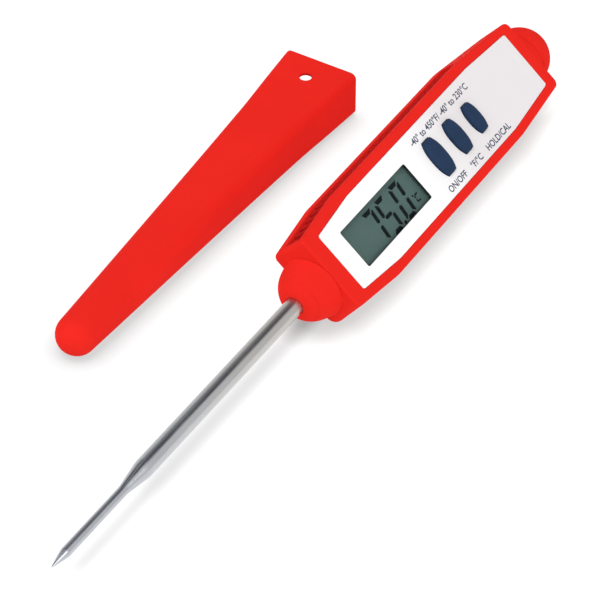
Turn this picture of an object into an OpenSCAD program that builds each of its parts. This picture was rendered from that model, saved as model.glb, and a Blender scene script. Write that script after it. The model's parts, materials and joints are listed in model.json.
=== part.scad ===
// Pocket probe thermometer with a faceted waterproof case, a stepped steel
// probe, three keys, a screw-in cell cap and a loose slip-on sheath.
// Millimetres. +X runs along the probe axis towards the cell cap, +Z is up.
// The thermometer lies on its rear right facet, so its face leans over by the
// facet angle; the sheath lies flat beside it with its axis parallel.
// The origin is on the rest facet, straight below the probe axis.

/* [Case] */
// Distance from the origin to the probe end face
case_probe = 34.5; // [33.5:0.1:36]
// Distance from the origin to the cap end face
case_cap = 38.0; // [37.5:0.1:38.6]
// Half length of the straight middle of the case
shoulder = 22.5; // [20:0.5:24]
// Width of the front face along its straight middle
case_w = 17.9; // [17.5:0.1:19]
// Width of the front face at the probe end
probe_end_w = 15.1; // [14.8:0.1:16]
// Width of the front face at the cap end
cap_end_w = 15.2; // [14.6:0.1:15.4]
// Height of the front face above the probe axis
case_front = 6.5; // [6.5:0.05:6.6]
// Depth of the back face below the probe axis
case_back = 7.4; // [7.2:0.1:7.8]
// Depth of the widest line below the probe axis
belt = 2.0; // [1.8:0.1:2.2]
// Angle between the rear facets and the back face
facet_angle = 40; // [38:0.5:42]
// Widening of the side walls for each millimetre below the face
draft = 0.059; // [0.04:0.001:0.07]
// Radius of the rounded nose
nose_r = 5.75; // [5.5:0.05:5.9]

/* [Probe] */
// Distance from the origin to the probe tip
probe_tip = 111.2; // [108:0.1:120]
// Radius of the main stem
stem_r = 1.7; // [1.65:0.01:1.72]
// Radius of the reduced tip
thin_r = 0.9; // [0.85:0.01:1]
// Length of the reduced tip, from its point
thin_len = 19.9; // [15:0.1:24]
// Length of the cone between the two diameters
cone_len = 5.4; // [4:0.1:8]
// Length of the sharpened point
point_len = 3.8; // [3:0.1:5]

/* [Display] */
// Start of the window along the axis
win_x0 = -26.8; // [-26.9:0.1:-26.5]
// End of the window along the axis
win_x1 = -5.0; // [-5.2:0.1:-4.9]
// Half width of the window
win_h = 3.9; // [3.6:0.05:4]
// Offset of the window across the case
win_y = -0.2; // [-0.3:0.05:0]
// Height of the digits
digit_h = 6.9; // [6:0.1:7]

/* [Keys] */
// Positions of the three keys along the axis
key_x = [2.43, 9.15, 15.4]; // [0:0.01:18]
// Widths of the three keys along the axis
key_w = [3.85, 3.5, 3.15]; // [3:0.01:4]
// Lengths of the three keys across the case
key_l = [7.5, 6.8, 6.0]; // [5:0.1:7.6]
// Height of the keys above the face
key_up = 0.85; // [0.7:0.05:1]
// Offset of the keys across the case
key_y = -0.1; // [-0.2:0.05:0.2]

/* [Cell cap] */
// Radius of the cap dome
cap_r = 5.85; // [5.8:0.01:5.9]
// Distance from the origin to the end of the cap boss
boss_end = 40.0; // [39.8:0.1:40.3]
// Radius of the cell bore
cell_bore = 4.25; // [4.2:0.01:4.3]

/* [Sheath] */
// Outer width of the mouth
sheath_w = 15.2; // [14:0.1:16]
// Outer height of the mouth
sheath_h = 9.4; // [9:0.1:10]
// Distance of the mouth from the origin, along the axis
mouth_x = 18.9; // [17:0.1:22]
// Centre of the round tip, along the axis
sheath_tip_x = -61.7; // [-65:0.1:-55]
// Radius of the round tip
sheath_tip_r = 3.74; // [3.5:0.01:4]
// Distance of the sheath beside the probe axis
sheath_y = 29.9; // [26:0.1:40]
// Thickness of the sheath wall
sheath_wall = 0.8; // [0.7:0.05:1]
// Radius of the hanging hole
hole_r = 1.15; // [1:0.05:1.4]

/* [Hidden] */

red = [0.86, 0.07, 0.06];
belt_half = case_w / 2 + draft * (case_front + belt);
axis_h = belt_half * sin(facet_angle) + belt * cos(facet_angle);
part_z = 4.9;      // top of the case rim
lid_z = 5.2;       // underside of the bezel
skirt_z = 4.95;    // lower edge of the bezel's skirt
recess_z = 6.2;    // floor of the label recess
board_z = 1.2;     // underside of the board
board_t = 1.0;
lcd_z = 4.35;      // underside of the display glass
lcd_t = 1.2;
seat_r = stem_r - 0.2; // radius of the stem inside the case
groove = 1.0;      // depth of the side channel below the bezel
cavity_x0 = -27;
cavity_x1 = 24;
nose_x = -case_probe + 0.26;
dome_x = boss_end + 0.89;
win_cy = win_y;
sh_n = 8;           // steps in each rounded corner of the sheath
screw_at = [[-20, 5.2], [-20, -5.2], [21, 5.2], [21, -5.2]];
label_pts = [[-31.05, 6.05], [-19.95, 7.2], [21.9, 7.2], [35.35, 6.1],
             [35.35, -6.1], [21.9, -7.2], [-19.95, -7.2], [-31.05, -6.05]];

// ---------- helpers ----------

// Stands the thermometer's own frame (face up, probe axis on X) on its rear facet
module lie() { translate([0, 0, axis_h]) rotate([facet_angle, 0, 0]) children(); }

// A cylinder along +X
module rod(x0, x1, r, y = 0, z = 0, fn = 64) {
    translate([x0, y, z]) rotate([0, 90, 0]) cylinder(h = x1 - x0, r = r, $fn = fn);
}

// A profile of [x, r] points turned about the X axis
module turned(p, fn = 96) {
    rotate([0, 90, 0]) rotate_extrude($fn = fn) polygon([for (q = p) [q[1], q[0]]]);
}

function unit(v) = v / norm(v);
function corner(a, b, c, r, n) =
    let (u = unit(a - b), v = unit(c - b), g = acos(u * v), m = unit(u + v),
         o = b + m * (r / sin(g / 2)), p = b + u * (r / tan(g / 2)), q = b + v * (r / tan(g / 2)),
         a0 = atan2(p[1] - o[1], p[0] - o[0]), a1 = atan2(q[1] - o[1], q[0] - o[0]),
         d = ((a1 - a0 + 540) % 360) - 180)
    [for (i = [0:n]) o + r * [cos(a0 + d * i / n), sin(a0 + d * i / n)]];
// A polygon with its corners rounded, one radius for each point
function rounded(P, R, n = 5) =
    [for (i = [0:len(P) - 1])
        each corner(P[(i + len(P) - 1) % len(P)], P[i], P[(i + 1) % len(P)], R[i], n)];

// Plan outline of the case at a height, set in by e at its ends and s at its sides
function plan(z, s = 0, e = 0, r = 0.8) =
    let (g = draft * (case_front - z) - s, p = probe_end_w / 2 + g, m = case_w / 2 + g, c = cap_end_w / 2 - s)
    rounded([[-case_probe + e, p], [-shoulder, m], [shoulder, m], [case_cap - e, c],
             [case_cap - e, -c], [shoulder, -m], [-shoulder, -m], [-case_probe + e, -p]],
            [r, 14, 14, r, r, 14, 14, r]);
// Plan outline of the back face
function back_plan() =
    let (d = case_back - belt, f = d / tan(facet_angle), g = draft * (case_front + belt),
         p = probe_end_w / 2 + g - f, m = case_w / 2 + g - f, c = cap_end_w / 2 - f)
    rounded([[-case_probe + d, p], [-shoulder, m], [shoulder, m], [case_cap - d, c],
             [case_cap - d, -c], [shoulder, -m], [-shoulder, -m], [-case_probe + d, -p]],
            [0.4, 2, 2, 0.4, 0.4, 2, 2, 0.4], 3);

module slab(pts, z, t = 0.01) { translate([0, 0, z]) linear_extrude(t) polygon(pts); }

// Barrel shaped key outline: bowed long sides, flat ends
function barrel(w, l, g = 0) =
    let (a = w / 2 + g, b = l / 2 + g, n = 12)
    concat([for (i = [-n:n]) let (t = i / n) [a * (1 - 0.46 * pow(abs(t), 2.6)), b * t]],
           [for (i = [-n:n]) let (t = -i / n) [-a * (1 - 0.46 * pow(abs(t), 2.6)), b * t]]);

// ---------- case ----------

module case_outer() {
    hull() {
        slab(plan(2.6), 2.59);
        slab(plan(-belt), -belt);
        slab(back_plan(), -case_back);
    }
    slab(plan(2.6, groove), 2.5, part_z - 2.5);
    // the side channels stop short of both ends
    intersection() {
        hull() {
            slab(plan(2.5), 2.5);
            slab(plan(part_z), part_z - 0.01);
        }
        union() {
            translate([-case_probe - 1, -15, 0]) cube([2.2, 30, 9]);
            translate([shoulder, -15, 0]) cube([30, 30, 9]);
        }
    }
    // cell boss and nose, cut back where the bezel sits above them
    difference() {
        union() {
            rod(26, boss_end, cap_r, fn = 96);
            rod(nose_x, -27.5, nose_r, fn = 96);
            translate([nose_x, 0, 0]) rotate([0, 90, 0]) sphere(r = nose_r, $fn = 96);
        }
        translate([-case_probe - 0.06, -10, part_z]) cube([case_probe + case_cap + 0.12, 20, 4]);
    }
}

module case_cavity() {
    hull() {
        slab(rounded([[cavity_x0, 6.6], [-21.5, 7.3], [21.5, 7.3], [cavity_x1, 7.1],
                      [cavity_x1, -7.1], [21.5, -7.3], [-21.5, -7.3], [cavity_x0, -6.6]],
                     [1, 3, 3, 1, 1, 3, 3, 1], 3), part_z + 0.5);
        slab(rounded([[cavity_x0, 6.9], [-21.5, 7.7], [21.5, 7.7], [cavity_x1, 7.4],
                      [cavity_x1, -7.4], [21.5, -7.7], [-21.5, -7.7], [cavity_x0, -6.9]],
                     [1, 3, 3, 1, 1, 3, 3, 1], 3), -belt);
        translate([-23.5, -2, -case_back + 1.3]) cube([44, 4, 0.1]);
    }
}

module case_body() color(red) lie() difference() {
    union() {
        difference() {
            case_outer();
            case_cavity();
        }
        for (p = screw_at) translate([p[0], p[1], -4]) cylinder(h = 4 + board_z, r = 1.5, $fn = 32);
    }
    // room for the display glass over the probe block
    translate([-29.3, -6.1, 3.3]) cube([4, 12, 3]);
    // probe seat: nose hole, seal pocket and bushing bore
    rod(-45, -30, seat_r + 0.05);
    rod(-31, -26, 3.0);
    rod(cavity_x0, -25.2, 3.6);
    // cell chamber and its two contact slots
    rod(25.5, 45, cell_bore);
    rod(23, 26, 0.45, y = 3, fn = 32);
    translate([23, -1.6, 3.6]) cube([3, 3.2, 0.75]);
    for (p = screw_at) translate([p[0], p[1], -1.8]) cylinder(h = 4, r = 0.66, $fn = 24);
}

module key_cut(i, g, z0, h) {
    translate([key_x[i], key_y, z0]) linear_extrude(h) polygon(barrel(key_w[i], key_l[i], g));
}

module front_bezel() color(red) lie() {
    bezel_shell();
    // clip ribs and the posts that hold the key retainer down
    for (s = [-1, 1]) translate([-20, s > 0 ? 6.45 : -7.15, 4.1]) cube([40, 0.7, 1.2]);
    for (p = [[-1.2, 5.4], [-1.2, -5.4], [19.6, 5.4], [19.6, -5.4]])
        translate([p[0], p[1], 3.6]) cylinder(h = 2, r = 0.75, $fn = 24);
}

module bezel_shell() difference() {
    union() {
        hull() {
            slab(plan(skirt_z), skirt_z);
            slab(plan(5.8), 5.8);
            slab(plan(6.1, 0.08, 0.08), 6.1);
            slab(plan(6.35, 0.26, 0.26), 6.35);
            slab(plan(case_front, 0.55, 0.55), case_front - 0.01);
        }
    }
    // seat over the gasket
    slab(plan(part_z, 1.05, 0.85, 0.6), skirt_z - 1, lid_z - skirt_z + 1);
    // label recess, lens seat and window
    translate([0, 0, recess_z]) linear_extrude(2) polygon(rounded(label_pts, [0.5, 6, 6, 0.5, 0.5, 6, 6, 0.5], 3));
    translate([win_x0 - 0.9, win_cy - win_h - 1.2, 5.65]) cube([win_x1 - win_x0 + 3.2, 2 * win_h + 2.4, 2]);
    translate([win_x0 - 0.1, win_cy - win_h - 0.5, 4]) cube([win_x1 - win_x0 + 1.6, 2 * win_h + 1, 3]);
    for (i = [0:2]) key_cut(i, 0.15, 4, 4);
}

module case_gasket() color([0.30, 0.03, 0.03]) lie() difference() {
    slab(plan(part_z, 1.1, 0.9, 0.6), part_z, lid_z - part_z);
    slab(plan(part_z, 1.5, 1.6, 0.5), part_z - 1, 3);
}

// ---------- face ----------

module label_overlay() color([0.95, 0.95, 0.96]) lie() difference() {
    translate([0, 0, recess_z]) linear_extrude(case_front - recess_z)
        polygon(rounded([for (p = label_pts) [p[0] - sign(p[0]) * 0.05, p[1] - sign(p[1]) * 0.05]],
                        [0.5, 6, 6, 0.5, 0.5, 6, 6, 0.5], 3));
    translate([0, 0, recess_z - 1]) linear_extrude(3)
        polygon(rounded([[win_x0, win_cy + win_h], [win_x1, win_cy + win_h],
                         [win_x1, win_cy - win_h], [win_x0, win_cy - win_h]], [0.35, 0.35, 0.35, 0.35], 4));
    for (i = [0:2]) key_cut(i, 0.15, 4, 4);
}

module lens_window() color([0.85, 0.92, 0.90, 0.35]) lie()
    translate([win_x0 - 0.85, win_cy - win_h - 1.15, 5.7])
        cube([win_x1 - win_x0 + 3.1, 2 * win_h + 2.3, recess_z - 5.7]);

module lcd_glass() color([0.42, 0.52, 0.49]) lie() {
    translate([-28.6, win_cy - 5.3, lcd_z]) cube([25.4, 10.6, lcd_t / 2]);
    translate([win_x0, win_cy - 4.3, lcd_z + lcd_t / 2]) cube([win_x1 - win_x0 + 1.4, 8.6, lcd_t / 2]);
}

module lcd_reflector() color([0.62, 0.66, 0.64]) lie()
    translate([-28.4, win_cy - 4.4, lcd_z - 0.2]) cube([25, 8.8, 0.2]);

// One seven-segment figure, leaning; segs lists the lit ones, 0 top, then
// clockwise to 5 upper left, and 6 the middle
module figure(segs, w, h, t) {
    g = t * 0.2;
    a = w / 2;
    b = h / 2;
    module flat(u) polygon([[-a + t * 0.45, u * b], [a - t * 0.45, u * b],
                            [a - t - g * 0.6, u * (b - t)], [-a + t + g * 0.6, u * (b - t)]]);
    module upright(i, u) polygon([[i * a, u * (b - t * 0.62 - g)], [i * (a - t * 0.2), u * (b - t * 0.45 - g)],
                                  [i * (a - t), u * (b - t - g * 1.6)], [i * (a - t), u * (t * 0.42 + g)],
                                  [i * (a - t * 0.45), u * g * 1.5], [i * a, u * (t * 0.4 + g)]]);
    for (s = segs)
        if (s == 0) flat(1);
        else if (s == 3) flat(-1);
        else if (s == 6) polygon([[-a + t * 0.8, 0], [-a + t * 1.15, t * 0.42], [a - t * 1.15, t * 0.42],
                                  [a - t * 0.8, 0], [a - t * 1.15, -t * 0.42], [-a + t * 1.15, -t * 0.42]]);
        else upright(s == 1 || s == 2 ? 1 : -1, s == 1 || s == 5 ? 1 : -1);
}

// lean 8 degrees: a point h above the middle moves sideways by h * tan(8)
module lean() multmatrix([[1, 0.14, 0, 0], [0, 1, 0, 0], [0, 0, 1, 0], [0, 0, 0, 1]]) children();

module lcd_segments() color([0.06, 0.10, 0.10]) lie()
    translate([0, -0.73, lcd_z + lcd_t]) linear_extrude(0.06) lean() {
        translate([-18.91, 0]) figure([0, 1, 2], 3.24, digit_h, 0.8);
        translate([-14.79, 0]) figure([0, 5, 6, 2, 3], 3.24, digit_h, 0.8);
        translate([-12.4, -digit_h / 2 + 0.42]) square([0.56, 0.56], center = true);
        translate([-10.09, 0]) figure([0, 1, 2, 3, 4, 5], 3.24, digit_h, 0.8);
        translate([-6.58, -1.6]) figure([0, 3, 4, 5], 1.25, 1.5, 0.26);
        translate([-7.5, -0.8]) square([0.3, 0.3], center = true);
    }

module lcd_frame() color([0.92, 0.92, 0.90]) lie() difference() {
    translate([-24.4, win_cy - 6, board_z + board_t]) cube([21.4, 12, lcd_z - 0.2 - board_z - board_t]);
    translate([-23.75, win_cy - 5.4, 2]) cube([20.1, 10.8, 3]);
    // clear of the screw heads
    for (s = [-1, 1]) translate([-20, s * 5.2, 2]) cylinder(h = 0.95, r = 1.3, $fn = 24);
}

module zebra_strips() color([0.20, 0.20, 0.22]) lie()
    for (s = [-1, 1]) translate([-18.4, win_cy + s * 4.9 - 0.4, board_z + board_t])
        cube([13.9, 0.8, lcd_z - board_z - board_t]);

// ---------- electronics ----------

module circuit_board() color([0.05, 0.32, 0.16]) lie() difference() {
    translate([0, 0, board_z]) linear_extrude(board_t)
        polygon(rounded([[-24.4, 6.4], [-21.5, 6.8], [23.4, 6.8], [23.4, -6.8], [-21.5, -6.8], [-24.4, -6.4]],
                        [1, 2, 1, 1, 2, 1], 3));
    for (p = screw_at) translate([p[0], p[1], 0]) cylinder(h = 4, r = 0.75, $fn = 24);
    for (s = [-1, 1]) translate([-23.5, s * 0.24, 0]) cylinder(h = 4, r = 0.2, $fn = 20);
}

module controller_chip() color([0.10, 0.10, 0.11]) lie() {
    translate([-4, -3.5, board_z - 1.0]) cube([7, 7, 0.92]);
    for (i = [0:7]) for (s = [-1, 1])
        translate([-3.5 + i * 0.8, s > 0 ? 3.5 : -4.3, board_z - 0.25]) cube([0.36, 0.8, 0.25]);
}

module smd_parts() color([0.55, 0.45, 0.32]) lie()
    for (i = [0:3]) for (s = [-1, 1])
        translate([6 + i * 3, s * 3.2 - 0.4, board_z - 0.6]) cube([1.6, 0.8, 0.6]);

module timing_crystal() color([0.75, 0.75, 0.74]) lie() {
    rod(-14, -8, 1.0, y = 2.6, z = board_z - 1.02, fn = 32);
    for (s = [-0.4, 0.4]) rod(-8, -6.8, 0.15, y = 2.6 + s, z = board_z - 1.02, fn = 16);
}

module board_screws() color([0.72, 0.70, 0.66]) lie()
    for (p = screw_at) translate([p[0], p[1], 0]) difference() {
        union() {
            translate([0, 0, -1.5]) cylinder(h = 1.5 + board_z + board_t, r = 0.6, $fn = 24);
            translate([0, 0, board_z + board_t]) cylinder(h = 0.6, r = 1.05, $fn = 24);
        }
        for (a = [0, 90]) rotate(a) translate([-0.75, -0.12, board_z + board_t + 0.3]) cube([1.5, 0.24, 1]);
    }

// ---------- keys ----------

module key_domes() color([0.80, 0.80, 0.78]) lie()
    for (i = [0:2]) translate([key_x[i], key_y, board_z + board_t]) difference() {
        cylinder(h = 0.24, r1 = 2.2, r2 = 1.5, $fn = 40);
        translate([0, 0, -0.1]) cylinder(h = 0.2, r = 1.9, $fn = 40);
    }

module key_retainer() color([0.90, 0.90, 0.88]) lie() difference() {
    union() {
        translate([0, 0, 3.1]) linear_extrude(0.5)
            polygon(rounded([[-2.2, 6.2], [20.6, 6.2], [20.6, -6.2], [-2.2, -6.2]], [1, 1, 1, 1], 4));
        // feet on the board
        for (x = [-1.2, 17.8]) for (s = [-1, 1])
            translate([x, s * 5.4, board_z + board_t]) cylinder(h = 1.2, r = 0.7, $fn = 24);
    }
    for (i = [0:2]) translate([key_x[i], key_y, 2]) cylinder(h = 3, r = 1.3, $fn = 32);
    // clear of the screw heads
    for (s = [-1, 1]) translate([21, s * 5.2, 2]) cylinder(h = 3, r = 1.5, $fn = 24);
}

module key(i) color([0.10, 0.15, 0.26]) lie() {
    // cap with a softened top edge
    key_cut(i, 0, 4.4, case_front + key_up - 0.45 - 4.4);
    hull() {
        key_cut(i, 0, case_front + key_up - 0.46, 0.01);
        key_cut(i, -0.05, case_front + key_up - 0.27, 0.01);
        key_cut(i, -0.18, case_front + key_up - 0.1, 0.01);
        key_cut(i, -0.42, case_front + key_up - 0.01, 0.01);
    }
    key_cut(i, 0.55, 4.4, 0.7);
    translate([key_x[i], key_y, 3.1]) cylinder(h = 1.4, r = 1.0, $fn = 32);
}

module key_on_off() key(0);
module key_unit() key(1);
module key_hold() key(2);

// ---------- probe ----------

module probe_stem() color([0.78, 0.78, 0.77]) lie() {
    t = -probe_tip;
    turned([[-25, 1.1], [-25, seat_r], [-39.8, seat_r], [-39.8, stem_r],
            [t + thin_len + cone_len, stem_r], [t + thin_len, thin_r], [t + point_len, thin_r],
            [t + 0.15, 0.14], [t, 0],
            [t + 5.0, 0], [t + 5.0, 0.55], [t + thin_len, 0.55], [t + thin_len + cone_len, 1.1]]);
}

module thermistor_bead() color([0.12, 0.12, 0.12]) lie() {
    rod(-probe_tip + 5.7, -probe_tip + 7.4, 0.5, fn = 32);
    for (x = [5.7, 7.4]) translate([-probe_tip + x, 0, 0]) sphere(r = 0.5, $fn = 32);
}

module sensor_leads() color([0.70, 0.62, 0.45]) lie()
    for (s = [-1, 1]) {
        rod(-probe_tip + 7.95, -23.5, 0.16, y = s * 0.24, fn = 20);
        translate([-23.5, s * 0.24, 0]) sphere(r = 0.16, $fn = 20);
        translate([-23.5, s * 0.24, 0]) cylinder(h = board_z + board_t + 0.1, r = 0.16, $fn = 20);
    }

module probe_bushing() color([0.70, 0.60, 0.34]) lie() difference() {
    union() {
        rod(-29.5, -26.98, 2.97);
        rod(-26.99, -26.2, 3.5);
    }
    rod(-31, -25, seat_r + 0.02);
}

module probe_o_ring() color([0.07, 0.07, 0.07]) lie()
    translate([-30.26, 0, 0]) rotate([0, 90, 0]) rotate_extrude($fn = 64) translate([2.26, 0]) circle(r = 0.72, $fn = 32);

module probe_collar() color([0.66, 0.66, 0.66]) lie() difference() {
    rod(-26.19, -25.3, 2.4);
    rod(-27, -24, seat_r + 0.02);
}

// ---------- cell ----------

module battery_cap() color(red) lie() difference() {
    union() {
        turned([[boss_end + 0.05, 0], [boss_end + 0.05, cap_r - 0.15], [boss_end + 0.2, cap_r],
                [dome_x, cap_r], [dome_x, 0]]);
        intersection() {
            translate([dome_x, 0, 0]) rotate([0, 90, 0]) sphere(r = cap_r, $fn = 96);
            rod(dome_x - 0.01, dome_x + 10, cap_r + 1);
        }
        // threaded plug with the seal groove
        turned([[33.6, 0], [33.6, 3.7], [34.0, 4.1], [34.5, 4.1], [34.75, 3.8], [35.0, 4.1], [35.5, 4.1],
                [35.75, 3.8], [36.0, 4.1], [36.5, 4.1], [36.75, 3.8], [37.0, 4.1], [37.6, 4.1], [37.6, 3.35],
                [38.8, 3.35], [38.8, 4.15], [boss_end + 0.1, 4.15], [boss_end + 0.1, 0]]);
    }
    // coin slot
    translate([dome_x + cap_r - 1.3, -3.6, -0.6]) cube([3, 7.2, 1.2]);
}

module cap_o_ring() color([0.07, 0.07, 0.07]) lie()
    translate([38.2, 0, 0]) rotate([0, 90, 0]) rotate_extrude($fn = 64) translate([3.8, 0]) circle(r = 0.4, $fn = 32);

module button_cell() color([0.80, 0.80, 0.79]) lie()
    turned([[29.3, 0], [29.3, 3.0], [29.75, 3.2], [29.8, 3.75], [30.0, 3.95], [33.2, 3.95], [33.4, 3.75], [33.4, 0]]);

// A round wire: up against the board, through the bulkhead, then a narrowing coil
tail = [[23, 3, board_z], [23, 3, 0.5], [23.1, 3, 0.15], [23.4, 3, 0], [25.3, 3, 0]];
function coil(i, n) = let (t = i / n, a = 360 * 3.5 * t, r = 1.2 + 1.8 * (1 - t)) [25.85 + 3.05 * t, r * cos(a), r * sin(a)];
module contact_spring() color([0.75, 0.72, 0.62]) lie() {
    path = concat(tail, [for (i = [0:56]) coil(i, 56)]);
    n = len(path) - 1;
    k = 8;
    w = 0.24;
    ring = [for (i = [0:n]) let (p = path[i], f = unit(path[min(i + 1, n)] - path[max(i - 1, 0)]),
                o = unit([0, p[1], p[2]]), u = unit(o - (o * f) * f), v = cross(f, u))
            for (j = [0:k - 1]) p + w * (cos(360 * j / k) * u + sin(360 * j / k) * v)];
    polyhedron(points = ring, faces = concat(
        [[for (j = [0:k - 1]) j]],
        [for (i = [0:n - 1]) for (j = [0:k - 1]) [i * k + j, (i + 1) * k + j, (i + 1) * k + (j + 1) % k, i * k + (j + 1) % k]],
        [[for (j = [k - 1:-1:0]) n * k + j]]));
}

module contact_tab() color([0.80, 0.72, 0.48]) lie() {
    intersection() {
        difference() {
            rod(22.9, 32.5, 4.2);
            rod(20, 40, 4.0);
        }
        translate([22, -1.4, 3]) cube([12, 2.8, 2]);
    }
    translate([22.7, -1.3, board_z + board_t]) cube([0.25, 2.6, 1.75]);
}

// ---------- sheath ----------

// Half width, half height and corner radius of the sheath along its axis
function along(x, x0, x1, v0, v1) = v0 + (v1 - v0) * (x - x0) / (x1 - x0);
function sh_a(x) = lookup(x, [[sheath_tip_x, sheath_tip_r], [-38, 4.72], [-14, 5.68], [2, 6.4], [11, 7.05], [mouth_x, sheath_w / 2]]);
function sh_b(x) = along(x, sheath_tip_x, mouth_x, sheath_tip_r, sheath_h / 2);
function sh_r(x) = lookup(x, [[sheath_tip_x, sheath_tip_r * 0.98], [-35, 3], [mouth_x, 1.2]]);
// One ring of points: a rounded rectangle standing across the axis, low side on the floor
function sh_ring(x, z, a, b, r) =
    [for (q = [0:3]) for (i = [0:sh_n])
        let (g = 90 * q + 90 * i / sh_n, sy = (q == 0 || q == 3) ? 1 : -1, sz = q < 2 ? 1 : -1)
        [x, sheath_y + sy * (a - r) + r * cos(g), z + sz * (b - r) + r * sin(g)]];
function sh_wall(x, g) = sh_ring(x, sh_b(x), sh_a(x) - g, sh_b(x) - g, sh_r(x) - g);
function sh_tip(t, g) = let (R = sheath_tip_r - g, c = R * cos(t))
    sh_ring(sheath_tip_x - R * sin(t), sheath_tip_r, c, c, c * 0.98);

module sheath() color(red) {
    // outside from the tip to the lip, then inside back to the tip
    xs = [sheath_tip_x, -38, -14, 2, 11, mouth_x - 0.3];
    rings = concat(
        [for (t = [84, 70, 56, 42, 28, 14]) sh_tip(t, 0)],
        [for (x = xs) sh_wall(x, 0)],
        [sh_wall(mouth_x - 0.08, 0.09), sh_wall(mouth_x, 0.26), sh_wall(mouth_x, sheath_wall - 0.2), sh_wall(mouth_x - 0.2, sheath_wall)],
        [for (i = [4:-1:0]) sh_wall(xs[i], sheath_wall)],
        [for (t = [14, 28, 42, 56, 70, 84]) sh_tip(t, sheath_wall)]);
    k = 4 * (sh_n + 1);
    n = len(rings);
    difference() {
        polyhedron(points = [for (q = rings) each q], faces = concat(
            [[for (j = [0:k - 1]) j]],
            [for (i = [0:n - 2]) for (j = [0:k - 1]) let (m = (j + 1) % k) each
                [[i * k + j, (i + 1) * k + m, i * k + m], [i * k + j, (i + 1) * k + j, (i + 1) * k + m]]],
            [[for (j = [k - 1:-1:0]) (n - 1) * k + j]]));
        translate([13.6, sheath_y + 0.25, -2]) cylinder(h = 16, r = hole_r, $fn = 48);
    }
}

case_body();
front_bezel();
case_gasket();
label_overlay();
lens_window();
lcd_glass();
lcd_segments();
lcd_reflector();
lcd_frame();
zebra_strips();
circuit_board();
controller_chip();
smd_parts();
timing_crystal();
board_screws();
key_domes();
key_retainer();
key_on_off();
key_unit();
key_hold();
probe_stem();
thermistor_bead();
sensor_leads();
probe_bushing();
probe_o_ring();
probe_collar();
battery_cap();
cap_o_ring();
button_cell();
contact_spring();
contact_tab();
sheath();
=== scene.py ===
import json
import math
import bpy
from mathutils import Matrix, Vector


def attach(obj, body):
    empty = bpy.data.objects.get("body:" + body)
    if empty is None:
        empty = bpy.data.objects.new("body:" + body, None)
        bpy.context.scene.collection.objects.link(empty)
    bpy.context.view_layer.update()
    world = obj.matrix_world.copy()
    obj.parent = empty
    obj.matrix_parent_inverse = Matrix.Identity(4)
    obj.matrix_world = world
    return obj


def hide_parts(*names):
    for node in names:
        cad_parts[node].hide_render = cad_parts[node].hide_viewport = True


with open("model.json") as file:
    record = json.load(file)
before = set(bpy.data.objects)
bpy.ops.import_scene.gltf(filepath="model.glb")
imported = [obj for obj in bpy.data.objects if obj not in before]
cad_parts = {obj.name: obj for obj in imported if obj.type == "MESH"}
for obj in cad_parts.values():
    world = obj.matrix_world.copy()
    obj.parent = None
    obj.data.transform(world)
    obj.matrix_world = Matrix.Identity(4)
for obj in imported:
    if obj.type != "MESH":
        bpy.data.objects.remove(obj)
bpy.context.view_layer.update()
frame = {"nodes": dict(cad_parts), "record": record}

N = frame["nodes"]
scene = bpy.context.scene

# ------------------------------------------------------------------ dimensions, millimetres, as in the CAD model
FA = math.radians(40)
CP, CC, SH = 34.5, 38.0, 22.5
CW, PEW, CEW = 17.9, 15.1, 15.2
CF, CB, BELT, DR = 6.5, 7.4, 2.0, 0.059
BH = CW / 2 + DR * (CF + BELT)
AH = BH * math.sin(FA) + BELT * math.cos(FA)
LIE = Matrix.Translation((0, 0, AH * 1e-3)) @ Matrix.Rotation(FA, 4, "X") @ Matrix.Scale(1e-3, 4)
FLAT = Matrix.Scale(1e-3, 4)
WIN = (-26.8, -5.0, -4.1, 3.7)
KEYS = [("key_on_off", "on_off", 2.43, 3.85, 7.5), ("key_unit", "unit", 9.15, 3.5, 6.8), ("key_hold", "hold", 15.4, 3.15, 6.0)]
KEY_Y, KEY_UP = -0.1, 0.85
LABEL = [(-31.05, 6.05), (-19.95, 7.2), (21.9, 7.2), (35.35, 6.25), (35.35, -6.0), (21.9, -7.2), (-19.95, -7.2), (-31.05, -6.05)]
LABEL_R = [0.5, 6, 6, 0.5, 0.5, 6, 6, 0.5]


# ------------------------------------------------------------------ outlines and lofts
def rounded(pts, radii, n):
    out = []
    for i in range(len(pts)):
        a, b, c = Vector(pts[i - 1]), Vector(pts[i]), Vector(pts[(i + 1) % len(pts)])
        u, v, r = (a - b).normalized(), (c - b).normalized(), radii[i]
        g = math.acos(max(-1, min(1, u.dot(v))))
        o = b + (u + v).normalized() * (r / math.sin(g / 2))
        p, q = b + u * (r / math.tan(g / 2)), b + v * (r / math.tan(g / 2))
        a0, a1 = math.atan2(p.y - o.y, p.x - o.x), math.atan2(q.y - o.y, q.x - o.x)
        d = (a1 - a0 + 3 * math.pi) % (2 * math.pi) - math.pi
        out += [(o.x + r * math.cos(a0 + d * k / n), o.y + r * math.sin(a0 + d * k / n)) for k in range(n + 1)]
    return out


def plan(g, e, r=0.8, n=8, s=0.0):
    """Plan outline of the case: g grows the sides, e sets the ends in, s sets the cap end's corners in."""
    p, m, c = PEW / 2 + g, CW / 2 + g, CEW / 2 - s
    return rounded([(-CP + e, p), (-SH, m), (SH, m), (CC - e, c), (CC - e, -c), (SH, -m), (-SH, -m), (-CP + e, -p)],
                   [r, 14, 14, r + 0.3, r + 0.3, 14, 14, r + 0.8], n)


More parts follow.
